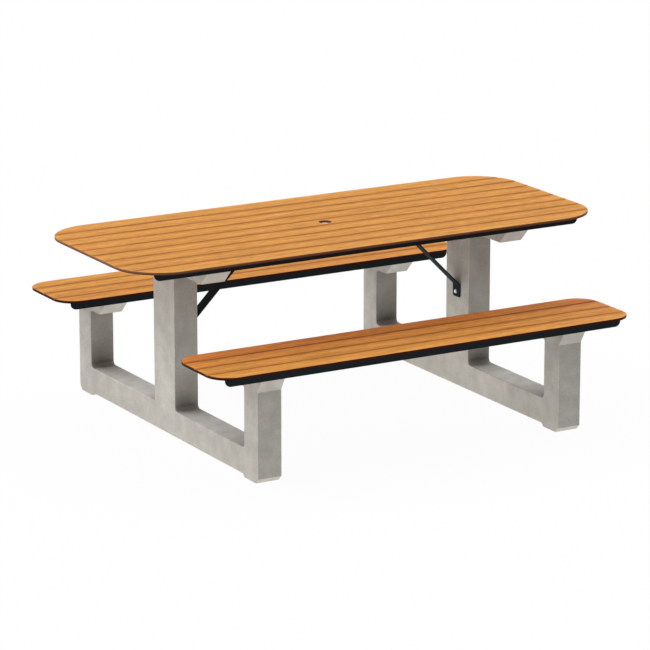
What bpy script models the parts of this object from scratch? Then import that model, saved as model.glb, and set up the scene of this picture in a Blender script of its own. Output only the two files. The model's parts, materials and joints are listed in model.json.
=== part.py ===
"""Picnic table with two attached benches: cast concrete end frames, grooved laminate boards,
steel angle rails, diagonal braces and the bolts and screws that hold them together.

Metres, +Z up. X runs along the table, Y runs across it, and the origin is on the ground
under the middle of the tabletop.
"""

import math

import bmesh
import bpy
from mathutils import Matrix

# Tabletop board
TABLE_HEIGHT = 0.750
TABLE_LENGTH = 2.042
TABLE_WIDTH = 0.838
TABLE_CORNER_RADIUS = 0.189
TABLE_PLANKS = 9
TABLE_PLANK_PITCH = 0.0922
PARASOL_HOLE_DIAMETER = 0.050

# Bench boards
BENCH_HEIGHT = 0.440
BENCH_LENGTH = 1.805
BENCH_WIDTH = 0.3465
BENCH_CORNER_RADIUS = 0.090
BENCH_PLANKS = 4
BENCH_PLANK_PITCH = 0.0896
BENCH_OFFSET = 0.6275

# Board stock and the grooves milled into its upper face
BOARD_THICKNESS = 0.010
BOARD_EDGE_ROUND = 0.0015
GROOVE_WIDTH = 0.018
GROOVE_FLOOR_WIDTH = 0.010
GROOVE_DEPTH = 0.0015

# Steel angle rails under the long edges of each board
RAIL_HEIGHT = 0.031
RAIL_FLANGE_WIDTH = 0.055
RAIL_THICKNESS = 0.005
RAIL_CORNER_RADIUS = 0.023
TABLE_RAIL_SETBACK = 0.097
TABLE_RAIL_INSET = 0.059
BENCH_RAIL_SETBACK = 0.0485
BENCH_RAIL_INSET = 0.032

# Concrete end frames
FRAME_SPACING = 1.305
FRAME_THICKNESS = 0.100
CENTRE_POST_WIDTH = 0.167
OUTER_POST_WIDTH = 0.1025
BEAM_TOP = 0.1145
BEAM_LIFT = 0.0125
FOOT_CHAMFER = 0.019
FOOT_STEP_RUN = 0.0125
ARM_DEPTH = 0.077
TABLE_ARM_NOSE = 0.027
BENCH_ARM_NOSE = 0.021
POST_FILLET = 0.016
ARM_FILLET = 0.008
CONCRETE_CHAMFER = 0.002

# Flat bar braces between the centre posts and the tabletop
BRACE_WIDTH = 0.050
BRACE_THICKNESS = 0.005
BRACE_ANGLE = math.radians(45)
BRACE_FOOT_HEIGHT = 0.3765
BRACE_FOOT_LENGTH = 0.050
BRACE_HEAD_LENGTH = 0.070
BRACE_BEND_RADIUS = 0.010
BRACE_END_RADIUS = 0.008
BRACE_BOLT_MARGIN = 0.021
BRACE_SCREW_SPACING = 0.032

# Countersunk anchors from the rails into the concrete
ANCHOR_DIAMETER = 0.008
ANCHOR_HEAD_DIAMETER = 0.016
ANCHOR_HEAD_HEIGHT = 0.0042
ANCHOR_LENGTH = 0.045
ANCHOR_EDGE_MARGIN = 0.014

# Hexagon head anchors that hold the feet of the braces
BRACE_BOLT_DIAMETER = 0.008
BRACE_BOLT_ACROSS_FLATS = 0.013
BRACE_BOLT_HEAD_HEIGHT = 0.0040
BRACE_WASHER_DIAMETER = 0.017
BRACE_WASHER_THICKNESS = 0.0016
BRACE_BOLT_LENGTH = 0.060

# Pan head screws from below into the boards
SCREW_DIAMETER = 0.005
SCREW_HEAD_DIAMETER = 0.011
SCREW_HEAD_HEIGHT = 0.003
SCREW_CROWN_DIAMETER = 0.0082
SCREW_CROWN_HEIGHT = 0.0015
SCREW_SOCKET_WIDTH = 0.004
SCREW_SOCKET_DEPTH = 0.0014
SCREW_COVER = 0.002
SCREW_END_MARGIN = 0.060
SCREW_MIDDLE_OFFSET = 0.300

# Clearances
SEAT_GAP = 0.0003
ARM_END_CLEARANCE = 0.001
HOLE_CLEARANCE = 0.0003
CUTTER_OVERSHOOT = 0.002
LEAST_LAND = 0.001

# Facets
CORNER_STEPS = 12
FILLET_STEPS = 5
BEND_STEPS = 4
ROUND_STEPS = 12
HOLE_STEPS = 32

# Colours, roughness and metallic value of the materials
MATERIALS = {
    "concrete": ((0.44, 0.42, 0.38), 0.90, 0.0),
    "wood_decor_laminate": ((0.66, 0.32, 0.10), 0.45, 0.0),
    "black_powder_coat": ((0.012, 0.013, 0.015), 0.50, 0.0),
    "zinc_plate": ((0.62, 0.63, 0.66), 0.35, 1.0),
}


def board_underside(board_height):
    return board_height - BOARD_THICKNESS


def rail_underside(board_height):
    """Underside of the rail flange, which rests on the concrete arm."""
    return board_underside(board_height) - SEAT_GAP - RAIL_THICKNESS


def arm_top(board_height):
    return rail_underside(board_height) - SEAT_GAP


def rail_length(board_length, setback):
    return board_length - 2 * setback


def rail_face(board_width, inset):
    """Distance from the middle of a board to the outer face of its rails."""
    return board_width / 2 - inset


def arm_reach(board_width, inset):
    """Distance from the middle of a board to the end of the arm between its rails."""
    return rail_face(board_width, inset) - RAIL_THICKNESS - ARM_END_CLEARANCE


def screw_line():
    """Distance from the outer face of a rail to its screws, in the middle of the flange."""
    return (RAIL_THICKNESS + RAIL_FLANGE_WIDTH) / 2


def anchor_line():
    """Distance from the outer face of a rail to its anchors, near the edge of the flange."""
    return RAIL_FLANGE_WIDTH - ANCHOR_EDGE_MARGIN


def screw_grip():
    """Length of a screw inside its board, which leaves some cover under a groove."""
    return BOARD_THICKNESS - GROOVE_DEPTH - SCREW_COVER


def clear_scene():
    for old in list(bpy.data.objects):
        bpy.data.objects.remove(old, do_unlink=True)


def make_materials():
    made = {}
    for name, (colour, roughness, metallic) in MATERIALS.items():
        material = bpy.data.materials.new(name)
        material.use_nodes = True
        shader = material.node_tree.nodes["Principled BSDF"]
        shader.inputs["Base Color"].default_value = (*colour, 1.0)
        shader.inputs["Roughness"].default_value = roughness
        shader.inputs["Metallic"].default_value = metallic
        made[name] = material
    return made


def mesh_from(bm, name):
    bmesh.ops.recalc_face_normals(bm, faces=bm.faces)
    mesh = bpy.data.meshes.new(name)
    bm.to_mesh(mesh)
    bm.free()
    return mesh


def place(name, mesh, material, parent, location=(0, 0, 0), rotation=(0, 0, 0)):
    if not mesh.materials:
        mesh.materials.append(material)
    piece = bpy.data.objects.new(name, mesh)
    piece.location = location
    piece.rotation_euler = rotation
    piece.parent = parent
    bpy.context.scene.collection.objects.link(piece)
    return piece


def cut(piece, cutter_mesh):
    """Subtract a mesh, given in the piece's own coordinates."""
    cutter = bpy.data.objects.new("cutter_" + piece.name, cutter_mesh)
    cutter.parent = piece
    cutter.hide_render = True
    cutter.display_type = "WIRE"
    bpy.context.scene.collection.objects.link(cutter)
    modifier = piece.modifiers.new("cut", "BOOLEAN")
    modifier.operation = "DIFFERENCE"
    modifier.solver = "EXACT"
    modifier.object = cutter


def arc(centre, radius, start, end, steps):
    """Points on an arc from one angle to another, both ends included."""
    points = []
    for step in range(steps + 1):
        angle = start + (end - start) * step / steps
        points.append((centre[0] + radius * math.cos(angle), centre[1] + radius * math.sin(angle)))
    return points


def rounded_rectangle(length, width, radius):
    points = []
    quarter = math.pi / 2
    for turn, (sx, sy) in enumerate(((1, 1), (-1, 1), (-1, -1), (1, -1))):
        centre = (sx * (length / 2 - radius), sy * (width / 2 - radius))
        points += arc(centre, radius, turn * quarter, (turn + 1) * quarter, CORNER_STEPS)
    return points


def fillet(before, corner, after, radius):
    """Points of the arc that rounds one corner of an outline."""
    to_before = (before[0] - corner[0], before[1] - corner[1])
    to_after = (after[0] - corner[0], after[1] - corner[1])
    angle_before = math.atan2(to_before[1], to_before[0])
    angle_after = math.atan2(to_after[1], to_after[0])
    opening = (angle_after - angle_before + math.pi) % (2 * math.pi) - math.pi
    middle = angle_before + opening / 2
    reach = radius / abs(math.sin(opening / 2))
    centre = (corner[0] + reach * math.cos(middle), corner[1] + reach * math.sin(middle))
    turn = math.copysign(math.pi - abs(opening), opening)
    start = middle + math.pi + turn / 2
    return arc(centre, radius, start, start - turn, FILLET_STEPS)


def outline_with_fillets(corners):
    """Turn (u, v, radius) corners of a closed outline into plain points."""
    points = []
    for index, (u, v, radius) in enumerate(corners):
        if radius == 0:
            points.append((u, v))
            continue
        before = corners[index - 1]
        after = corners[(index + 1) % len(corners)]
        points += fillet(before, (u, v), after, radius)
    return points


def add_prism(bm, points, to_space, low, high):
    """Add a prism: outline points (u, v) swept along w from low to high."""
    bottom = [bm.verts.new(to_space(u, v, low)) for u, v in points]
    top = [bm.verts.new(to_space(u, v, high)) for u, v in points]
    bottom_face = bm.faces.new(list(reversed(bottom)))
    top_face = bm.faces.new(top)
    for index in range(len(points)):
        after = (index + 1) % len(points)
        bm.faces.new((bottom[index], bottom[after], top[after], top[index]))
    bm.normal_update()  # the bevels read the face normals
    return bottom_face, top_face


def along_x(u, v, w):
    return (w, u, v)


def along_y(u, v, w):
    return (u, w, v)


def along_z(u, v, w):
    return (u, v, w)


def add_round(bm, profile, placing):
    """Add a turned solid. The profile lists (radius, height, sides); sides 6 gives a hexagon."""
    rings = []
    for radius, height, sides in profile:
        if radius == 0:
            rings.append([bm.verts.new(placing @ Matrix.Translation((0, 0, height)).to_translation())])
            continue
        ring = []
        for step in range(ROUND_STEPS):
            angle = 2 * math.pi * step / ROUND_STEPS
            reach = radius
            if sides:
                sector = 2 * math.pi / sides
                reach = radius / math.cos((angle + sector / 2) % sector - sector / 2)
            point = Matrix.Translation((reach * math.cos(angle), reach * math.sin(angle), height))
            ring.append(bm.verts.new(placing @ point.to_translation()))
        rings.append(ring)
    for lower, upper in zip(rings, rings[1:]):
        for step in range(ROUND_STEPS):
            after = (step + 1) % ROUND_STEPS
            corners = [lower[step % len(lower)], lower[after % len(lower)]]
            corners += [upper[after % len(upper)], upper[step % len(upper)]]
            bm.faces.new(list(dict.fromkeys(corners)))


def bore_profile(diameter, low, high):
    radius = diameter / 2 + HOLE_CLEARANCE
    return [(0, low, 0), (radius, low, 0), (radius, high, 0), (0, high, 0)]


def screw_positions(rail_length):
    """Places along a rail of the screws that hold its board."""
    end = rail_length / 2 - SCREW_END_MARGIN
    return [-end, -SCREW_MIDDLE_OFFSET, SCREW_MIDDLE_OFFSET, end]


def groove_lines(planks, pitch):
    return [(index - planks / 2) * pitch for index in range(1, planks)]


def board_mesh(name, length, width, radius):
    bm = bmesh.new()
    outline = rounded_rectangle(length, width, radius)
    lower, upper = add_prism(bm, outline, along_z, -BOARD_THICKNESS, 0)
    rim = list(lower.edges) + list(upper.edges)
    bmesh.ops.bevel(bm, geom=rim, offset=BOARD_EDGE_ROUND, segments=2, profile=0.5, affect="EDGES")
    return mesh_from(bm, name)


def groove_cutter(name, length, lines):
    """Trapezium channels along the whole upper face of a board."""
    bm = bmesh.new()
    half_length = length / 2 + CUTTER_OVERSHOOT
    slope = (GROOVE_WIDTH - GROOVE_FLOOR_WIDTH) / 2 / GROOVE_DEPTH
    half_floor = GROOVE_FLOOR_WIDTH / 2
    half_mouth = GROOVE_WIDTH / 2 + slope * CUTTER_OVERSHOOT
    for line in lines:
        section = [
            (line - half_floor, -GROOVE_DEPTH),
            (line + half_floor, -GROOVE_DEPTH),
            (line + half_mouth, CUTTER_OVERSHOOT),
            (line - half_mouth, CUTTER_OVERSHOOT),
        ]
        add_prism(bm, section, along_x, -half_length, half_length)
    return mesh_from(bm, name)


def pilot_hole_cutter(name, spots):
    """Blind holes in the underside of a board for its screws."""
    bm = bmesh.new()
    low = -BOARD_THICKNESS - CUTTER_OVERSHOOT
    high = -BOARD_THICKNESS + screw_grip() + HOLE_CLEARANCE
    for x, y in spots:
        add_round(bm, bore_profile(SCREW_DIAMETER, low, high), Matrix.Translation((x, y, 0)))
    return mesh_from(bm, name)


def parasol_hole_cutter(name):
    bm = bmesh.new()
    circle = arc((0, 0), PARASOL_HOLE_DIAMETER / 2, 0, 2 * math.pi, HOLE_STEPS)[:-1]
    add_prism(bm, circle, along_z, -BOARD_THICKNESS - CUTTER_OVERSHOOT, CUTTER_OVERSHOOT)
    return mesh_from(bm, name)


def rail_mesh(name, length):
    """Angle with its leg at +Y, its flange towards -Y and its top at z = 0."""
    bm = bmesh.new()
    half = length / 2
    corner = min(RAIL_CORNER_RADIUS, RAIL_HEIGHT - RAIL_THICKNESS - LEAST_LAND)
    low = -RAIL_HEIGHT + corner
    leg = [(-half, -RAIL_THICKNESS)]
    leg += arc((-half + corner, low), corner, math.pi, 1.5 * math.pi, CORNER_STEPS)
    leg += arc((half - corner, low), corner, 1.5 * math.pi, 2 * math.pi, CORNER_STEPS)
    leg += [(half, -RAIL_THICKNESS)]
    outer = [bm.verts.new((x, 0, z)) for x, z in leg]
    inner = [bm.verts.new((x, -RAIL_THICKNESS, z)) for x, z in leg]
    outer_top = [bm.verts.new((x, 0, 0)) for x in (-half, half)]
    edge_top = [bm.verts.new((x, -RAIL_FLANGE_WIDTH, 0)) for x in (-half, half)]
    edge_low = [bm.verts.new((x, -RAIL_FLANGE_WIDTH, -RAIL_THICKNESS)) for x in (-half, half)]
    bm.faces.new(outer + outer_top[::-1])
    bm.faces.new(inner)
    for index in range(len(leg) - 1):
        bm.faces.new((outer[index], outer[index + 1], inner[index + 1], inner[index]))
    bm.faces.new(outer_top + edge_top[::-1])
    bm.faces.new(edge_top + edge_low[::-1])
    bm.faces.new([inner[0], inner[-1]] + edge_low[::-1])
    for side in (0, -1):
        bm.faces.new((outer_top[side], outer[side], inner[side], edge_low[side], edge_top[side]))
    return mesh_from(bm, name)


def rail_hole_cutter(name, length):
    """Countersunk anchor holes and plain screw holes through a rail flange."""
    bm = bmesh.new()
    low = -RAIL_THICKNESS - CUTTER_OVERSHOOT
    bore = bore_profile(SCREW_DIAMETER, low, CUTTER_OVERSHOOT)
    for x in screw_positions(length):
        add_round(bm, bore, Matrix.Translation((x, -screw_line(), 0)))
    shank = ANCHOR_DIAMETER / 2 + HOLE_CLEARANCE
    head = ANCHOR_HEAD_DIAMETER / 2 + 2 * HOLE_CLEARANCE
    countersink = [
        (0, low, 0),
        (shank, low, 0),
        (shank, -ANCHOR_HEAD_HEIGHT - HOLE_CLEARANCE, 0),
        (head, 0, 0),
        (head, CUTTER_OVERSHOOT, 0),
        (0, CUTTER_OVERSHOOT, 0),
    ]
    for x in (-FRAME_SPACING / 2, FRAME_SPACING / 2):
        add_round(bm, countersink, Matrix.Translation((x, -anchor_line(), 0)))
    return mesh_from(bm, name)


def frame_outline():
    """Outline of an end frame in the (y, z) plane."""
    foot_in = BENCH_OFFSET
    foot_out = BENCH_OFFSET + OUTER_POST_WIDTH
    bench_top = arm_top(BENCH_HEIGHT)
    bench_bottom = bench_top - ARM_DEPTH
    bench_nose = bench_top - BENCH_ARM_NOSE
    bench_reach = arm_reach(BENCH_WIDTH, BENCH_RAIL_INSET)
    bench_in = BENCH_OFFSET - bench_reach
    bench_out = BENCH_OFFSET + bench_reach
    table_top = arm_top(TABLE_HEIGHT)
    table_bottom = table_top - ARM_DEPTH
    table_nose = table_top - TABLE_ARM_NOSE
    table_end = arm_reach(TABLE_WIDTH, TABLE_RAIL_INSET)
    bench_slope = ARM_DEPTH - BENCH_ARM_NOSE
    table_slope = ARM_DEPTH - TABLE_ARM_NOSE
    half = [
        (foot_in - FOOT_STEP_RUN, BEAM_LIFT, 0),
        (foot_in, 0, 0),
        (foot_out - FOOT_CHAMFER, 0, 0),
        (foot_out, FOOT_CHAMFER, 0),
        (foot_out, bench_bottom, 0),
        (bench_out, bench_nose, 0),
        (bench_out, bench_top, 0),
        (bench_in, bench_top, 0),
        (bench_in, bench_nose, 0),
        (bench_in + bench_slope, bench_bottom, 0),
        (foot_in, bench_bottom, ARM_FILLET),
        (foot_in, BEAM_TOP, POST_FILLET),
        (CENTRE_POST_WIDTH / 2, BEAM_TOP, POST_FILLET),
        (CENTRE_POST_WIDTH / 2, table_bottom, ARM_FILLET),
        (table_end - table_slope, table_bottom, 0),
        (table_end, table_nose, 0),
        (table_end, table_top, 0),
    ]
    other_half = [(-y, z, radius) for y, z, radius in reversed(half)]
    return outline_with_fillets(half + other_half)


def frame_mesh(name):
    """End frame centred on x = 0, with its inner face towards +X."""
    bm = bmesh.new()
    half = FRAME_THICKNESS / 2
    inner, outer = add_prism(bm, frame_outline(), along_x, -half, half)
    rim = list(inner.edges) + list(outer.edges)
    bmesh.ops.bevel(bm, geom=rim, offset=CONCRETE_CHAMFER, segments=1, affect="EDGES")
    return mesh_from(bm, name)


def frame_hole_cutter(name):
    """Blind holes for the rail anchors in the arm tops, and for the brace bolt in the post."""
    bm = bmesh.new()
    depth = ANCHOR_LENGTH - RAIL_THICKNESS + HOLE_CLEARANCE
    table_line = rail_face(TABLE_WIDTH, TABLE_RAIL_INSET) - anchor_line()
    bench_line = rail_face(BENCH_WIDTH, BENCH_RAIL_INSET) - anchor_line()
    seats = []
    for sign in (-1, 1):
        seats.append((sign * table_line, TABLE_HEIGHT))
        seats.append((sign * BENCH_OFFSET - bench_line, BENCH_HEIGHT))
        seats.append((sign * BENCH_OFFSET + bench_line, BENCH_HEIGHT))
    for y, height in seats:
        top = arm_top(height)
        profile = bore_profile(ANCHOR_DIAMETER, top - depth, top + CUTTER_OVERSHOOT)
        add_round(bm, profile, Matrix.Translation((0, y, 0)))
    reach = BRACE_BOLT_LENGTH - BRACE_THICKNESS + HOLE_CLEARANCE
    profile = bore_profile(BRACE_BOLT_DIAMETER, -reach, CUTTER_OVERSHOOT)
    seat = Matrix.Translation((FRAME_THICKNESS / 2, 0, BRACE_FOOT_HEIGHT + BRACE_BOLT_MARGIN))
    add_round(bm, profile, seat @ Matrix.Rotation(math.pi / 2, 4, "Y"))
    return mesh_from(bm, name)


def brace_line():
    """Corners of the middle line of a brace, in (distance from the post, height)."""
    start = SEAT_GAP + BRACE_THICKNESS / 2
    bend = BRACE_FOOT_HEIGHT + BRACE_FOOT_LENGTH
    head = board_underside(TABLE_HEIGHT) - SEAT_GAP - BRACE_THICKNESS / 2
    run = start + (head - bend) / math.tan(BRACE_ANGLE)
    return [(start, BRACE_FOOT_HEIGHT), (start, bend), (run, head), (run + BRACE_HEAD_LENGTH, head)]


def bent_strip(line, thickness, bend_radius):
    """Outline of a strip that follows a line with round bends."""
    middle = []
    for index, point in enumerate(line):
        before = line[max(index - 1, 0)]
        after = line[min(index + 1, len(line) - 1)]
        heading_in = math.atan2(point[1] - before[1], point[0] - before[0])
        heading_out = math.atan2(after[1] - point[1], after[0] - point[0])
        if index == 0:
            middle.append((*point, heading_out))
            continue
        if index == len(line) - 1:
            middle.append((*point, heading_in))
            continue
        turn = heading_out - heading_in
        setback = bend_radius * math.tan(abs(turn) / 2)
        side = math.copysign(math.pi / 2, turn)
        start = (point[0] - setback * math.cos(heading_in), point[1] - setback * math.sin(heading_in))
        centre = (start[0] + bend_radius * math.cos(heading_in + side),
                  start[1] + bend_radius * math.sin(heading_in + side))
        for step in range(BEND_STEPS + 1):
            heading = heading_in + turn * step / BEND_STEPS
            middle.append((centre[0] - bend_radius * math.cos(heading + side),
                           centre[1] - bend_radius * math.sin(heading + side), heading))
    sides = []
    for sign in (1, -1):
        quarter = sign * math.pi / 2
        sides.append([(u + thickness / 2 * math.cos(heading + quarter),
                       v + thickness / 2 * math.sin(heading + quarter)) for u, v, heading in middle])
    return sides[0] + sides[1][::-1]


def brace_mesh(name):
    """Brace with the face of its post at x = 0, rising towards +X."""
    bm = bmesh.new()
    outline = bent_strip(brace_line(), BRACE_THICKNESS, BRACE_BEND_RADIUS)
    faces = add_prism(bm, outline, along_y, -BRACE_WIDTH / 2, BRACE_WIDTH / 2)
    ends = []
    for face in faces:
        verts = sorted(face.verts, key=lambda vert: (vert.co.z, vert.co.x))
        foot = set(verts[:2])
        head = set(sorted(face.verts, key=lambda vert: vert.co.x)[-2:])
        ends += [edge for edge in face.edges if set(edge.verts) in (foot, head)]
    bmesh.ops.bevel(bm, geom=ends, offset=BRACE_END_RADIUS, segments=BEND_STEPS, profile=0.5, affect="EDGES")
    return mesh_from(bm, name)


def brace_screw_spots():
    """Distances from the post of the screws through the head of a brace."""
    run, end = brace_line()[2][0], brace_line()[3][0]
    middle = (run + end) / 2
    return [middle - BRACE_SCREW_SPACING / 2, middle + BRACE_SCREW_SPACING / 2]


def brace_hole_cutter(name):
    bm = bmesh.new()
    head = board_underside(TABLE_HEIGHT)
    for distance in brace_screw_spots():
        low = head - BRACE_THICKNESS - CUTTER_OVERSHOOT
        add_round(bm, bore_profile(SCREW_DIAMETER, low, head), Matrix.Translation((distance, 0, 0)))
    profile = bore_profile(BRACE_BOLT_DIAMETER, -CUTTER_OVERSHOOT, BRACE_THICKNESS + CUTTER_OVERSHOOT)
    seat = Matrix.Translation((0, 0, BRACE_FOOT_HEIGHT + BRACE_BOLT_MARGIN))
    add_round(bm, profile, seat @ Matrix.Rotation(math.pi / 2, 4, "Y"))
    return mesh_from(bm, name)


def anchor_mesh(name):
    """Countersunk anchor with the top of its head at z = 0."""
    bm = bmesh.new()
    head = ANCHOR_HEAD_DIAMETER / 2
    shank = ANCHOR_DIAMETER / 2
    add_round(bm, [(0, -ANCHOR_LENGTH, 0), (shank, -ANCHOR_LENGTH, 0), (shank, -ANCHOR_HEAD_HEIGHT, 0),
                   (head, 0, 0), (0, 0, 0)], Matrix.Identity(4))
    return mesh_from(bm, name)


def brace_bolt_mesh(name):
    """Hexagon head anchor with its washer, seated at z = 0 with the shank towards -Z."""
    bm = bmesh.new()
    shank = BRACE_BOLT_DIAMETER / 2
    washer = BRACE_WASHER_DIAMETER / 2
    flat = BRACE_BOLT_ACROSS_FLATS / 2
    top = BRACE_WASHER_THICKNESS + BRACE_BOLT_HEAD_HEIGHT
    add_round(bm, [(0, -BRACE_BOLT_LENGTH, 0), (shank, -BRACE_BOLT_LENGTH, 0), (shank, 0, 0), (washer, 0, 0),
                   (washer, BRACE_WASHER_THICKNESS, 0), (flat, BRACE_WASHER_THICKNESS, 6),
                   (flat, top, 6), (0, top, 0)], Matrix.Identity(4))
    return mesh_from(bm, name)


def screw_mesh(name, plate_thickness):
    """Pan head screw seated against z = 0 from below, with its shank towards +Z."""
    bm = bmesh.new()
    head = SCREW_HEAD_DIAMETER / 2
    crown = SCREW_CROWN_DIAMETER / 2
    shank = SCREW_DIAMETER / 2
    socket = SCREW_SOCKET_WIDTH / 2
    low = -SCREW_HEAD_HEIGHT
    floor = low + SCREW_SOCKET_DEPTH
    tip = plate_thickness + SEAT_GAP + screw_grip()
    add_round(bm, [(0, floor, 0), (socket, floor, 6), (socket, low, 6), (crown, low, 0),
                   (head, low + SCREW_CROWN_HEIGHT, 0), (head, -SEAT_GAP, 0), (shank, -SEAT_GAP, 0),
                   (shank, tip, 0), (0, tip, 0)], Matrix.Identity(4))
    return mesh_from(bm, name)


def build_frames(materials, root):
    mesh = frame_mesh("end_frame")
    for side, sign, turn in (("left", -1, 0), ("right", 1, math.pi)):
        location = (sign * FRAME_SPACING / 2, 0, 0)
        frame = place("end_frame_" + side, mesh, materials["concrete"], root, location, (0, 0, turn))
        cut(frame, frame_hole_cutter("holes_" + frame.name))


def build_board(name, length, width, radius, grooves, screws, middle, materials, root):
    mesh = board_mesh(name, length, width, radius)
    board = place(name, mesh, materials["wood_decor_laminate"], root, middle)
    cut(board, groove_cutter("grooves_" + name, length, grooves))
    cut(board, pilot_hole_cutter("pilot_holes_" + name, screws))
    return board


def build_rail(name, mesh, length, middle, face, outward, materials, root):
    """One rail with its anchors and screws. The leg faces the side given by outward."""
    x, y, board_height = middle
    turn = 0 if outward > 0 else math.pi
    top = board_underside(board_height) - SEAT_GAP
    location = (x, y + outward * face, top)
    rail = place(name, mesh, materials["black_powder_coat"], root, location, (0, 0, turn))
    cut(rail, rail_hole_cutter("holes_" + name, length))
    anchor_y = y + outward * (face - anchor_line())
    screw_y = y + outward * (face - screw_line())
    for side, sign in (("left", -1), ("right", 1)):
        seat = (sign * FRAME_SPACING / 2, anchor_y, top - HOLE_CLEARANCE)
        place(f"{name}_anchor_{side}", bpy.data.meshes["anchor"], materials["zinc_plate"], root, seat)
    for number, offset in enumerate(screw_positions(length), 1):
        seat = (offset, screw_y, top - RAIL_THICKNESS)
        place(f"{name}_screw_{number}", bpy.data.meshes["rail_screw"], materials["zinc_plate"], root, seat)


def build_table(materials, root):
    screws = []
    line = rail_face(TABLE_WIDTH, TABLE_RAIL_INSET) - screw_line()
    length = rail_length(TABLE_LENGTH, TABLE_RAIL_SETBACK)
    for x in screw_positions(length):
        screws += [(x, -line), (x, line)]
    post_face = FRAME_SPACING / 2 - FRAME_THICKNESS / 2
    for distance in brace_screw_spots():
        screws += [(distance - post_face, 0), (post_face - distance, 0)]
    middle = (0, 0, TABLE_HEIGHT)
    grooves = groove_lines(TABLE_PLANKS, TABLE_PLANK_PITCH)
    board = build_board("tabletop", TABLE_LENGTH, TABLE_WIDTH, TABLE_CORNER_RADIUS, grooves, screws,
                        middle, materials, root)
    cut(board, parasol_hole_cutter("parasol_hole"))
    mesh = rail_mesh("table_rail", length)
    face = rail_face(TABLE_WIDTH, TABLE_RAIL_INSET)
    for side, outward in (("front", -1), ("back", 1)):
        build_rail("table_rail_" + side, mesh, length, middle, face, outward, materials, root)


def build_benches(materials, root):
    line = rail_face(BENCH_WIDTH, BENCH_RAIL_INSET) - screw_line()
    length = rail_length(BENCH_LENGTH, BENCH_RAIL_SETBACK)
    screws = [(x, sign * line) for x in screw_positions(length) for sign in (-1, 1)]
    grooves = groove_lines(BENCH_PLANKS, BENCH_PLANK_PITCH)
    mesh = rail_mesh("bench_rail", length)
    face = rail_face(BENCH_WIDTH, BENCH_RAIL_INSET)
    for side, sign in (("front", -1), ("back", 1)):
        middle = (0, sign * BENCH_OFFSET, BENCH_HEIGHT)
        build_board("bench_seat_" + side, BENCH_LENGTH, BENCH_WIDTH, BENCH_CORNER_RADIUS, grooves, screws,
                    middle, materials, root)
        for place_word, outward in (("outer", sign), ("inner", -sign)):
            name = f"{side}_bench_rail_{place_word}"
            build_rail(name, mesh, length, middle, face, outward, materials, root)


def build_braces(materials, root):
    mesh = brace_mesh("brace")
    post_face = FRAME_SPACING / 2 - FRAME_THICKNESS / 2
    bolt_height = BRACE_FOOT_HEIGHT + BRACE_BOLT_MARGIN
    bolt_seat = SEAT_GAP + BRACE_THICKNESS + SEAT_GAP
    screw_seat = board_underside(TABLE_HEIGHT) - SEAT_GAP - BRACE_THICKNESS
    for side, sign, turn in (("left", -1, 0), ("right", 1, math.pi)):
        name = "brace_" + side
        face = sign * post_face
        brace = place(name, mesh, materials["black_powder_coat"], root, (face, 0, 0), (0, 0, turn))
        cut(brace, brace_hole_cutter("holes_" + name))
        seat = (face - sign * bolt_seat, 0, bolt_height)
        place(name + "_bolt", bpy.data.meshes["brace_bolt"], materials["zinc_plate"], root, seat,
              (0, -sign * math.pi / 2, 0))
        for number, distance in enumerate(brace_screw_spots(), 1):
            seat = (face - sign * distance, 0, screw_seat)
            place(f"{name}_screw_{number}", bpy.data.meshes["brace_screw"], materials["zinc_plate"], root,
                  seat)


def main():
    clear_scene()
    materials = make_materials()
    root = bpy.data.objects.new("picnic_table", None)
    bpy.context.scene.collection.objects.link(root)
    anchor_mesh("anchor")
    brace_bolt_mesh("brace_bolt")
    screw_mesh("rail_screw", RAIL_THICKNESS)
    screw_mesh("brace_screw", BRACE_THICKNESS)
    build_frames(materials, root)
    build_table(materials, root)
    build_benches(materials, root)
    build_braces(materials, root)


main()
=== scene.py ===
"""Looks of the picnic table: finishes, floor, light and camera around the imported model."""

import json
import math

import bpy
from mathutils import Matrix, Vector


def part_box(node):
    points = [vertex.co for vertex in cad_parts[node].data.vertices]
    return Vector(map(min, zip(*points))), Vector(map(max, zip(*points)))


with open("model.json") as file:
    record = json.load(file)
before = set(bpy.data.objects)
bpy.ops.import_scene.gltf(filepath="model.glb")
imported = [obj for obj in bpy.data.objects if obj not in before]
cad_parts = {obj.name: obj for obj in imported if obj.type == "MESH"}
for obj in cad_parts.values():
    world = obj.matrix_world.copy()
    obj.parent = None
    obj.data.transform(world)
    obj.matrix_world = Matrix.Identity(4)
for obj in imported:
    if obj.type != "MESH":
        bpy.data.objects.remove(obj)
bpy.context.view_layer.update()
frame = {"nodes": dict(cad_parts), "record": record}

# Camera of the photograph, fitted to the straight edges of the table
CAMERA_PLACE = Vector((-6.7955, -11.8072, 3.9942))
CAMERA_TURN = math.radians(29.92)
CAMERA_DIP = math.radians(15.02)
CAMERA_LENS = 201.6
CAMERA_SENSOR = 36.0
CAMERA_REACH = 200.0

# Soft light of the studio: bearing and height in degrees, sharpness, strength
SKY_LOBES = [
    (0.0, 6.0, 10.0, 0.30),
    (0.0, 52.0, 6.0, 0.60),
    (45.0, 20.0, 6.0, 0.35),
    (45.0, 52.0, 6.0, 1.80),
    (135.0, 20.0, 6.0, 2.85),
    (135.0, 52.0, 6.0, 0.35),
    (180.0, 52.0, 6.0, 0.60),
    (270.0, 52.0, 6.0, 0.25),
]
WHITE = (1.0, 1.0, 1.0)

# Floor: its disc, how white it is seen, and the light it gives back from front to back and to the right
FLOOR_RADIUS = 14.0
FLOOR_SIDES = 96
FLOOR_DROP = 0.0004
FLOOR_COLOUR = (0.90, 0.90, 0.90)
FLOOR_WHITENING = 0.965
FLOOR_BOUNCE = (0.92, 0.50)
FLOOR_BOUNCE_SPAN = (-0.9, 1.7)
FLOOR_FADE = (1.0, 0.55)
FLOOR_FADE_SPAN = (0.65, 1.6)

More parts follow.
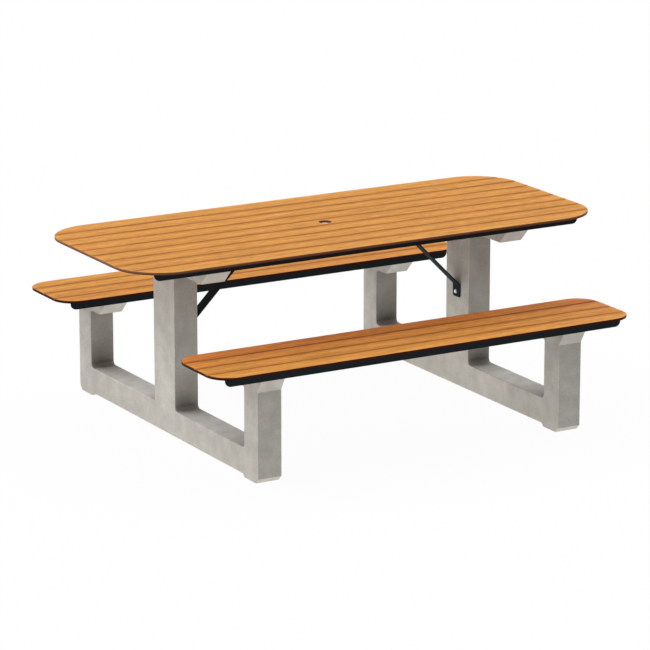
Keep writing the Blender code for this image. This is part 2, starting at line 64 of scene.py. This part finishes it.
# Noises: scale in waves per metre, one or one for each axis, then detail, roughness and distortion
CONCRETE_PATCHES = (4.0, 3.0, 0.5)
CONCRETE_MOTTLE = (18.0, 2.0, 0.5)
CONCRETE_SAND = (130.0, 2.0, 0.6)
CONCRETE_GRIT = (420.0, 2.0, 0.7)
GRAIN_FINE = ((6.0, 360.0, 40.0), 3.0, 0.6)
GRAIN_BROAD = ((1.1, 36.0, 6.0), 3.0, 0.55, 0.5)
GRAIN_STREAK = ((4.0, 120.0, 12.0), 2.0, 0.6, 0.3)
GRAIN_FLECK = ((26.0, 130.0, 40.0), 2.0, 0.6)
COAT_TEXTURE = (900.0, 2.0, 0.6)
ZINC_SPANGLE = (260.0, 3.0, 0.6)

# The values that most of a noise lies between, and how far each noise moves the tone
NOISE_SPAN = (0.3, 0.7)
PATCHES_SPREAD = 0.07
MOTTLE_SPREAD = 0.09
SAND_SPREAD = 0.06
GRIT_SPREAD = 0.10
FINE_SPREAD = 0.34
BROAD_SPREAD = 0.06
FLECK_SPREAD = 0.15
COAT_SPREAD = 0.15
SPANGLE_SPREAD = 0.10

# Relief: strength, and height in metres
CONCRETE_RELIEF = (0.20, 0.001)
GRAIN_RELIEF = (0.12, 0.0006)
COAT_RELIEF = (0.2, 0.0005)

# Roughness at the low and at the high values of the noise that drives it
CONCRETE_ROUGHNESS = (0.82, 0.92)
DECOR_ROUGHNESS = (0.62, 0.52)
COAT_ROUGHNESS = (0.52, 0.65)
ZINC_ROUGHNESS = (0.16, 0.30)

# Strength of the reflection
CONCRETE_SHEEN = 0.25
DECOR_SHEEN = 0.05
COAT_SHEEN = 0.02
ZINC_METAL = 1.0

# Colours of the concrete, the coat and the zinc
CONCRETE_COLOUR = (0.567, 0.541, 0.489)
# Painted highlight colour of the open chamfers
CONCRETE_CHAMFER_HIGHLIGHT_COLOUR = (0.780, 0.745, 0.668)
# Painted light: colour of the faces that turn up
CONCRETE_LIT_TOP_COLOUR = (0.795, 0.805, 0.785)
CONCRETE_PORE_COLOUR = (0.30, 0.285, 0.26)
# Painted light on the arms below the tabletop, then below the benches
CONCRETE_TABLE_ARM_LIGHT_TINT = (1.12, 1.21, 1.27)
CONCRETE_BENCH_ARM_LIGHT_TINT = (1.32, 1.32, 1.32)
COAT_COLOUR = (0.0200, 0.0265, 0.0310)
ZINC_COLOUR = (0.66, 0.68, 0.72)

# Concrete: part of the normal that tells its sides, its tops and its chamfers
SIDE_FACING = (0.8, 0.9)
TOP_FACING = (0.85, 0.95)
CHAMFER_FACING = (0.97, 0.88)

# Concrete: spans in metres from the table's middle, over which one end of the object gives way to the other
LEFT_TO_RIGHT = (-0.3, 0.3)
RIGHT_TO_LEFT = (0.3, -0.3)
FRONT_TO_BACK = (-0.3, 0.3)

# Concrete: painted highlight on open chamfers, less at the front than at the back
CHAMFER_HIGHLIGHT_OPENNESS = (0.65, 0.85)
CHAMFER_HIGHLIGHT_SPAN = (-0.3, 0.4)
CHAMFER_HIGHLIGHT_SHARES = (0.45, 1.0)

# Concrete: painted shade in the inner corners, deeper low down and at the right
CORNER_REACH = 0.18
CORNER_SAMPLES = 8
CORNER_OPENNESS = (0.5, 1.0)
CORNER_HEIGHT = (0.18, 0.30)
LOW_CORNER_SHADES = (0.24, 0.12)
HIGH_CORNER_SHADE = 0.55

# Concrete: painted light on the arms below the boards, by height and, for the benches, by distance from the
# middle
TABLE_ARM_HEIGHT = (0.64, 0.67)
BENCH_ARM_HEIGHT = (0.34, 0.365)
BENCH_ARM_START = (0.44, 0.46)
BENCH_ARM_END = (0.75, 0.70)
BENCH_ARM_SHARES = (0.5, 1.0)

# Concrete: painted shade low on the front foot of the left frame, and painted light low in the middle of
# the right one
FOOT_SHADE_DISTANCE = (-0.4, -0.7)
FOOT_SHADE_HEIGHT = (0.28, 0.08)
FOOT_SHADE_TONE = 0.87
PALE_DISTANCE = (0.42, 0.25)
PALE_HEIGHT = (0.42, 0.36)
PALE_TONE = 1.14

# Concrete: pores, of which only the upper chances show
PORE_SCALE = 45.0
PORE_SIZE = 0.10
PORE_CHANCE = (0.80, 1.0)

# Decor: colours and tints
DECOR_COLOUR = (0.700, 0.312, 0.062)
DECOR_STREAK_COLOUR = (0.490, 0.185, 0.032)
GROOVE_COLOUR = (0.450, 0.158, 0.031)
# Painted shade beside the grooves
FLANK_SHADE_TINT = (0.90, 0.82, 0.82)
# Painted shade under the tabletop
UNDER_TABLE_SHADE_TINT = (1.10, 0.86, 0.93)
# Painted light and shade: one core, painted lighter on the tabletop's edges and darker on the benches'
TABLE_CORE_LIT_COLOUR = (0.315, 0.135, 0.079)
BENCH_CORE_SHADED_COLOUR = (0.068, 0.020, 0.009)
# Painted shade: board edges darken towards their bottom to this share
CORE_SHADE = 0.35
# Painted shade: the underside is a darker copy of the decor
UNDERSIDE_SHADE = 0.38

# Decor: streaks of the grain, its shift from plank to plank, tones of the planks and half a plank
STREAK_SPAN = (0.52, 0.72)
STREAK_SHARE = 0.8
GRAIN_SHIFT = (7.0, 3.0, 5.0)
PLANK_TONES = (0.98, 1.03)
HALF_PLANK = 0.5

# Decor: part of the normal that tells a board's faces from its eased edges, and depths of skin and grooves
FACE_FACING = 0.93
SKIN_DEPTH = 0.0002
GROOVE_DEPTH = 0.0015

# Decor: painted shade beside the grooves, and a painted highlight as a paler band along a board's outline
GROOVE_HALF = 0.009
FLANK_SHADE_REACH = 0.024
HIGHLIGHT_RIM_WIDTH = 0.030
HIGHLIGHT_RIM_TONE = 1.13

# Decor: distances from the table's middle over which planks under the tabletop take painted shade, as a
# redder tint and darker grooves
UNDER_TABLE_SHADE_SPAN = (0.66, 0.47)
GROOVE_SHADE_SPAN = (0.74, 0.50)
GROOVE_SHADE_DEPTH = 0.34

# Planks of a board: spacing, number and the radius of the board's corners
TABLE_PLANKS = (0.0922, 9, 0.189)
BENCH_PLANKS = (0.0896, 4, 0.090)

# Boards: planks, colour of the core, a tint of each board's own tone that is painted light on the front
# bench, how much painted shade of the tabletop falls on them
BOARDS = {
    "tabletop": (TABLE_PLANKS, TABLE_CORE_LIT_COLOUR, (1.01, 1.01, 0.98), 0.0),
    "bench_seat_front": (BENCH_PLANKS, BENCH_CORE_SHADED_COLOUR, (1.11, 1.08, 1.15), 1.0),
    "bench_seat_back": (BENCH_PLANKS, BENCH_CORE_SHADED_COLOUR, (0.99, 0.99, 0.93), 0.3),
}


class Shading:
    """The nodes of a material or world, with short calls for those that the looks use."""

    def __init__(self, owner):
        owner.use_nodes = True
        self.owner = owner
        self.tree = owner.node_tree

    def add(self, kind, **settings):
        node = self.tree.nodes.new("ShaderNode" + kind)
        for key, value in settings.items():
            setattr(node, key, value)
        return node

    def feed(self, socket, value):
        """Connect a node output, or set a plain value, on an input socket."""
        if isinstance(value, bpy.types.NodeSocket):
            self.tree.links.new(value, socket)
        elif hasattr(socket.default_value, "__len__") and not hasattr(value, "__len__"):
            socket.default_value = [value] * len(socket.default_value)
        elif hasattr(value, "__len__") and len(value) < len(socket.default_value):
            socket.default_value = (*value, 1.0)
        else:
            socket.default_value = value

    def feed_all(self, node, *values):
        """Feed a node's inputs in their order."""
        for socket, value in zip(node.inputs, values):
            self.feed(socket, value)
        return node

    def math(self, operation, *values):
        return self.feed_all(self.add("Math", operation=operation), *values).outputs[0]

    def size(self, value):
        return self.math("ABSOLUTE", value)

    def times(self, first, *others):
        for other in others:
            first = self.math("MULTIPLY", first, other)
        return first

    def vector(self, operation, first, second, result="Vector"):
        return self.feed_all(self.add("VectorMath", operation=operation), first, second).outputs[result]

    def axes(self, vector):
        return self.feed_all(self.add("SeparateXYZ"), vector).outputs

    def place(self):
        """Position on the object, in metres."""
        return self.add("TexCoord").outputs["Object"]

    def normal(self):
        return self.axes(self.add("NewGeometry").outputs["Normal"])

    def noise(self, vector, scale, detail, roughness, distortion=0.0):
        """Noise of a given scale, one number or one for each axis."""
        node = self.add("TexNoise")
        self.feed(node.inputs["Vector"], self.vector("MULTIPLY", vector, scale))
        self.feed(node.inputs["Scale"], 1.0)
        self.feed(node.inputs["Detail"], detail)
        self.feed(node.inputs["Roughness"], roughness)
        self.feed(node.inputs["Distortion"], distortion)
        return node.outputs["Fac"]

    def dots(self, vector, scale, size, chances):
        """A mask of sparse round dots."""
        cells = self.add("TexVoronoi")
        self.feed(cells.inputs["Vector"], vector)
        self.feed(cells.inputs["Scale"], scale)
        chance = self.axes(cells.outputs["Color"])["X"]
        reach = self.ramp(chance, *chances, 0.0, size)
        return self.math("LESS_THAN", cells.outputs["Distance"], reach)

    def ramp(self, value, low, high, start=0.0, end=1.0):
        """Carry a value from one range to another, held at both ends."""
        node = self.add("MapRange", clamp=True)
        return self.feed_all(node, value, low, high, start, end).outputs["Result"]

    def along_noise(self, noise, start, end):
        """A value that goes from start to end with a noise."""
        return self.ramp(noise, *NOISE_SPAN, start, end)

    def around(self, noise, spread):
        """Turn a noise into a factor that varies about 1."""
        return self.along_noise(noise, 1.0 - spread, 1.0 + spread)

    def mix(self, factor, first, second, blend="MIX"):
        node = self.add("Mix", data_type="RGBA", blend_type=blend)
        self.feed(node.inputs["Factor"], factor)
        self.feed(node.inputs["A"], first)
        self.feed(node.inputs["B"], second)
        return node.outputs["Result"]

    def tint(self, colour, factor):
        return self.mix(1.0, colour, factor, "MULTIPLY")

    def openness(self, reach):
        """How open the surface lies among its own piece, from 0 in a deep corner to 1 on a flat face."""
        node = self.add("AmbientOcclusion", samples=CORNER_SAMPLES, only_local=True)
        self.feed(node.inputs["Distance"], reach)
        return node.outputs["AO"]

    def bump(self, height, strength, distance):
        node = self.add("Bump")
        self.feed(node.inputs["Height"], height)
        self.feed(node.inputs["Strength"], strength)
        self.feed(node.inputs["Distance"], distance)
        return node.outputs["Normal"]

    def set(self, **sockets):
        """Set or connect inputs of the standard surface shader."""
        shader = self.tree.nodes["Principled BSDF"]
        for name, value in sockets.items():
            self.feed(shader.inputs[name.replace("_", " ")], value)

    def seen(self):
        """A factor that is 1 for rays that see the background: camera, mirror and glass rays."""
        rays = self.add("LightPath").outputs
        seen = rays["Is Camera Ray"]
        for kind in ("Is Glossy Ray", "Is Transmission Ray"):
            seen = self.math("MAXIMUM", seen, rays[kind])
        return seen

    def light(self, kind, colour, strength):
        """A Background or Emission shader."""
        return self.feed_all(self.add(kind), colour, strength).outputs[0]

    def mix_shaders(self, factor, first, second):
        return self.feed_all(self.add("MixShader"), factor, first, second).outputs[0]

    def finish_with(self, kind, shader):
        """Connect a shader to the tree's output node."""
        self.feed(self.add(kind).inputs["Surface"], shader)


def new_finish(name):
    return Shading(bpy.data.materials.new(name))


def concrete():
    """Fair-faced concrete: sand and pores, with painted highlight on chamfers, painted light on tops, on
    the arms below the boards and low in the right frame's middle, and painted shade in inner corners and
    low on the left front foot.
    """
    finish = new_finish("fair_faced_concrete")
    place = finish.place()
    along, back, height = finish.axes(place)
    aside = finish.size(back)
    x, y, z = finish.normal()
    side = finish.ramp(finish.size(x), *SIDE_FACING)
    openness = finish.openness(CORNER_REACH)

    patches = finish.noise(place, *CONCRETE_PATCHES)
    mottle = finish.noise(place, *CONCRETE_MOTTLE)
    sand = finish.noise(place, *CONCRETE_SAND)
    grit = finish.noise(place, *CONCRETE_GRIT)
    tone = finish.times(finish.around(patches, PATCHES_SPREAD), finish.around(mottle, MOTTLE_SPREAD),
                        finish.around(sand, SAND_SPREAD), finish.around(grit, GRIT_SPREAD))

    flat = finish.math("MAXIMUM", finish.math("MAXIMUM", finish.size(x), finish.size(y)), finish.size(z))
    # Painted highlight: open chamfers paler, less at the front
    chamfer_highlight = finish.times(finish.ramp(flat, *CHAMFER_FACING), finish.ramp(openness, *CHAMFER_HIGHLIGHT_OPENNESS),
                        finish.ramp(back, *CHAMFER_HIGHLIGHT_SPAN, *CHAMFER_HIGHLIGHT_SHARES))
    colour = finish.mix(chamfer_highlight, CONCRETE_COLOUR, CONCRETE_CHAMFER_HIGHLIGHT_COLOUR)
    # Painted light: faces that turn up are paler
    colour = finish.mix(finish.ramp(z, *TOP_FACING), colour, CONCRETE_LIT_TOP_COLOUR)

    # Painted light on the arms in the shade below the boards
    table_arm_light = finish.ramp(height, *TABLE_ARM_HEIGHT)
    bench_arm_light = finish.times(finish.ramp(height, *BENCH_ARM_HEIGHT), finish.ramp(aside, *BENCH_ARM_START),
                             finish.ramp(aside, *BENCH_ARM_END), side,
                             finish.ramp(back, *FRONT_TO_BACK, *BENCH_ARM_SHARES))
    colour = finish.mix(table_arm_light, colour, finish.tint(colour, CONCRETE_TABLE_ARM_LIGHT_TINT))
    colour = finish.mix(bench_arm_light, colour, finish.tint(colour, CONCRETE_BENCH_ARM_LIGHT_TINT))

    # Painted shade in the inner corners, where the piece hides its own light
    low_corner_shade = finish.ramp(along, *LEFT_TO_RIGHT, *LOW_CORNER_SHADES)
    corner_shade = finish.ramp(height, *CORNER_HEIGHT, low_corner_shade, HIGH_CORNER_SHADE)
    corners = finish.ramp(openness, *CORNER_OPENNESS, corner_shade, 1.0)
    # Painted shade low on the left front foot, painted light low in the right frame's middle
    foot_shade = finish.times(side, finish.ramp(along, *RIGHT_TO_LEFT), finish.ramp(back, *FOOT_SHADE_DISTANCE),
                        finish.ramp(height, *FOOT_SHADE_HEIGHT))
    pale = finish.times(side, finish.ramp(along, *LEFT_TO_RIGHT), finish.ramp(aside, *PALE_DISTANCE),
                        finish.ramp(height, *PALE_HEIGHT))
    painted_light_and_shade = finish.times(finish.ramp(foot_shade, 0.0, 1.0, 1.0, FOOT_SHADE_TONE),
                           finish.ramp(pale, 0.0, 1.0, 1.0, PALE_TONE))
    colour = finish.tint(colour, finish.times(tone, corners, painted_light_and_shade))

    pores = finish.dots(place, PORE_SCALE, PORE_SIZE, PORE_CHANCE)
    colour = finish.mix(pores, colour, CONCRETE_PORE_COLOUR)
    finish.set(Base_Color=colour, Normal=finish.bump(grit, *CONCRETE_RELIEF),
               Roughness=finish.along_noise(mottle, *CONCRETE_ROUGHNESS), Specular_IOR_Level=CONCRETE_SHEEN)
    return finish.owner


def inside_outline(finish, x, y, low, high, corner):
    """Distance in from a board's rounded outline, up to the radius of its corners."""
    squares = []
    for value, start, end in ((x, low.x, high.x), (y, low.y, high.y)):
        offset = finish.size(finish.math("SUBTRACT", value, (start + end) / 2))
        past = finish.math("MAXIMUM", 0.0, finish.math("SUBTRACT", offset, (end - start) / 2 - corner))
        squares.append(finish.times(past, past))
    return finish.math("SUBTRACT", corner, finish.math("SQRT", finish.math("ADD", *squares)))


def wood_decor(node, planks, core, batch_and_light, tabletop_shade_share):
    """Printed planks: a grain of its own on each plank, grooves, and a dark core at the edges, with painted
    light and shade: a paler outline, shade beside the grooves, down the edges, on the underside and under
    the tabletop.
    """
    low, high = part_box(node)
    pitch, number, corner = planks
    finish = new_finish(node + "_decor")
    place = finish.place()
    x, y, z = finish.axes(place)
    up = finish.normal()["Z"]
    aside = finish.size(y)

    edge = (low.y + high.y - pitch * number) / 2
    count = finish.math("DIVIDE", finish.math("SUBTRACT", y, edge), pitch)
    inner = finish.math("MAXIMUM", HALF_PLANK, finish.math("MINIMUM", number - HALF_PLANK, count))
    beside_groove = finish.times(finish.math("PINGPONG", inner, HALF_PLANK), pitch)
    own = finish.add("TexWhiteNoise", noise_dimensions="1D")
    finish.feed(own.inputs["W"], finish.math("FLOOR", count))

    grain = finish.vector("ADD", place, finish.vector("MULTIPLY", own.outputs["Color"], GRAIN_SHIFT))
    fine = finish.noise(grain, *GRAIN_FINE)
    broad = finish.noise(grain, *GRAIN_BROAD)
    streak = finish.noise(grain, *GRAIN_STREAK)
    fleck = finish.noise(grain, *GRAIN_FLECK)
    # Painted highlight: a paler band along the board's outline
    rim_highlight = finish.ramp(inside_outline(finish, x, y, low, high, corner), HIGHLIGHT_RIM_WIDTH, 0.0, 1.0, HIGHLIGHT_RIM_TONE)
    tone = finish.times(finish.around(fine, FINE_SPREAD), finish.around(broad, BROAD_SPREAD),
                        finish.around(fleck, FLECK_SPREAD), rim_highlight,
                        finish.ramp(own.outputs["Value"], 0.0, 1.0, *PLANK_TONES))

    streaks = finish.ramp(streak, *STREAK_SPAN, 0.0, STREAK_SHARE)
    decor = finish.tint(finish.mix(streaks, DECOR_COLOUR, DECOR_STREAK_COLOUR), tone)
    # Painted shade beside the grooves
    flank_shade = finish.ramp(beside_groove, GROOVE_HALF + FLANK_SHADE_REACH, GROOVE_HALF)
    decor = finish.mix(flank_shade, decor, finish.tint(decor, FLANK_SHADE_TINT))

    depth = finish.ramp(z, high.z - SKIN_DEPTH, high.z - GROOVE_DEPTH)
    # Painted shade: grooves darker under the tabletop
    groove_shade = finish.ramp(aside, *GROOVE_SHADE_SPAN, 1.0, 1.0 - GROOVE_SHADE_DEPTH * tabletop_shade_share)
    skin = finish.mix(depth, decor, finish.tint(GROOVE_COLOUR, finish.times(tone, groove_shade)))
    # Painted shade: planks redder under the tabletop
    under_table_shade = finish.times(finish.ramp(aside, *UNDER_TABLE_SHADE_SPAN), tabletop_shade_share)
    skin = finish.mix(under_table_shade, skin, finish.tint(skin, UNDER_TABLE_SHADE_TINT))
    # Tint of each board's own tone, on the front bench also painted light
    skin = finish.tint(skin, batch_and_light)

    upper = finish.times(finish.math("GREATER_THAN", up, FACE_FACING),
                         finish.math("GREATER_THAN", z, high.z - GROOVE_DEPTH - SKIN_DEPTH))
    under = finish.math("LESS_THAN", up, -FACE_FACING)
    # Painted shade down the board's edges
    edge_shade_ramp = finish.ramp(z, low.z, high.z, CORE_SHADE, 1.0)
    colour = finish.mix(upper, finish.tint(core, edge_shade_ramp), skin)
    # Painted shade on the underside
    colour = finish.mix(under, colour, finish.tint(decor, UNDERSIDE_SHADE))
    finish.set(Base_Color=colour, Normal=finish.bump(fine, *GRAIN_RELIEF),
               Roughness=finish.along_noise(fine, *DECOR_ROUGHNESS), Specular_IOR_Level=DECOR_SHEEN)
    return finish.owner


def powder_coat():
    """Black powder coat with a fine texture."""
    finish = new_finish("black_powder_coat_fine")
    texture = finish.noise(finish.place(), *COAT_TEXTURE)
    finish.set(Base_Color=finish.tint(COAT_COLOUR, finish.around(texture, COAT_SPREAD)),
               Roughness=finish.along_noise(texture, *COAT_ROUGHNESS),
               Normal=finish.bump(texture, *COAT_RELIEF), Specular_IOR_Level=COAT_SHEEN)
    return finish.owner


def zinc():
    """Bright zinc with a faint spangle."""
    finish = new_finish("bright_zinc")
    spangle = finish.noise(finish.place(), *ZINC_SPANGLE)
    finish.set(Base_Color=finish.tint(ZINC_COLOUR, finish.around(spangle, SPANGLE_SPREAD)),
               Metallic=ZINC_METAL, Roughness=finish.along_noise(spangle, *ZINC_ROUGHNESS))
    return finish.owner


def dress():
    """Give every piece of the model its finish."""
    slots = {
        "concrete": concrete(),
        "black_powder_coat": powder_coat(),
        "zinc_plate": zinc(),
    }
    boards = {name: wood_decor(name, *looks) for name, looks in BOARDS.items()}
    for part in frame["record"]["subparts"]:
        name = part["node"]
        materials = frame["nodes"][name].data.materials
        materials.clear()
        materials.append(boards[name] if name in boards else slots[part["material_slot"]])


def make_sky():
    """Soft lobes of light around the table, in front of a white background."""
    world = bpy.data.worlds.new("studio")
    bpy.context.scene.world = world
    sky = Shading(world)
    sky.tree.nodes.clear()
    direction = sky.add("TexCoord").outputs["Generated"]
    total = 0.0
    for bearing, height, sharpness, strength in SKY_LOBES:
        turn, rise = math.radians(bearing), math.radians(height)
        aim = (math.cos(turn) * math.cos(rise), math.sin(turn) * math.cos(rise), math.sin(rise))
        facing = sky.math("MAXIMUM", sky.vector("DOT_PRODUCT", direction, aim, "Value"), 0.0)
        total = sky.math("MULTIPLY_ADD", sky.math("POWER", facing, sharpness), strength, total)
    light = sky.light("Background", WHITE, total)
    white = sky.light("Background", WHITE, 1.0)
    sky.finish_with("OutputWorld", sky.mix_shaders(sky.seen(), light, white))


def make_floor():
    """A pale floor: near white where it is seen, with the table's shadow, and an even bounce."""
    bpy.ops.mesh.primitive_circle_add(vertices=FLOOR_SIDES, radius=FLOOR_RADIUS, fill_type="NGON",
                                      location=(0.0, 0.0, -FLOOR_DROP))
    floor = bpy.context.object
    floor.name = "floor"
    finish = new_finish("pale_floor")
    finish.tree.nodes.clear()
    seen = finish.seen()
    x, y, _ = finish.axes(finish.add("NewGeometry").outputs["Position"])
    bounce = finish.times(finish.ramp(y, *FLOOR_BOUNCE_SPAN, *FLOOR_BOUNCE),
                          finish.ramp(x, *FLOOR_FADE_SPAN, *FLOOR_FADE))
    diffuse = finish.feed_all(finish.add("BsdfDiffuse"), FLOOR_COLOUR).outputs[0]
    glow = finish.light("Emission", WHITE, finish.ramp(seen, 0.0, 1.0, bounce, 1.0))
    whitening = finish.ramp(seen, 0.0, 1.0, 1.0, FLOOR_WHITENING)
    finish.finish_with("OutputMaterial", finish.mix_shaders(whitening, diffuse, glow))
    floor.data.materials.append(finish.owner)


def make_camera():
    """The camera of the photograph."""
    data = bpy.data.cameras.new("photo_camera")
    data.lens = CAMERA_LENS
    data.sensor_width = CAMERA_SENSOR
    data.clip_end = CAMERA_REACH
    camera = bpy.data.objects.new("photo_camera", data)
    camera.location = CAMERA_PLACE
    camera.rotation_euler = (math.pi / 2 - CAMERA_DIP, 0.0, -CAMERA_TURN)
    bpy.context.scene.collection.objects.link(camera)
    bpy.context.scene.camera = camera


dress()
make_sky()
make_floor()
make_camera()
bpy.context.scene.view_settings.view_transform = "Standard"
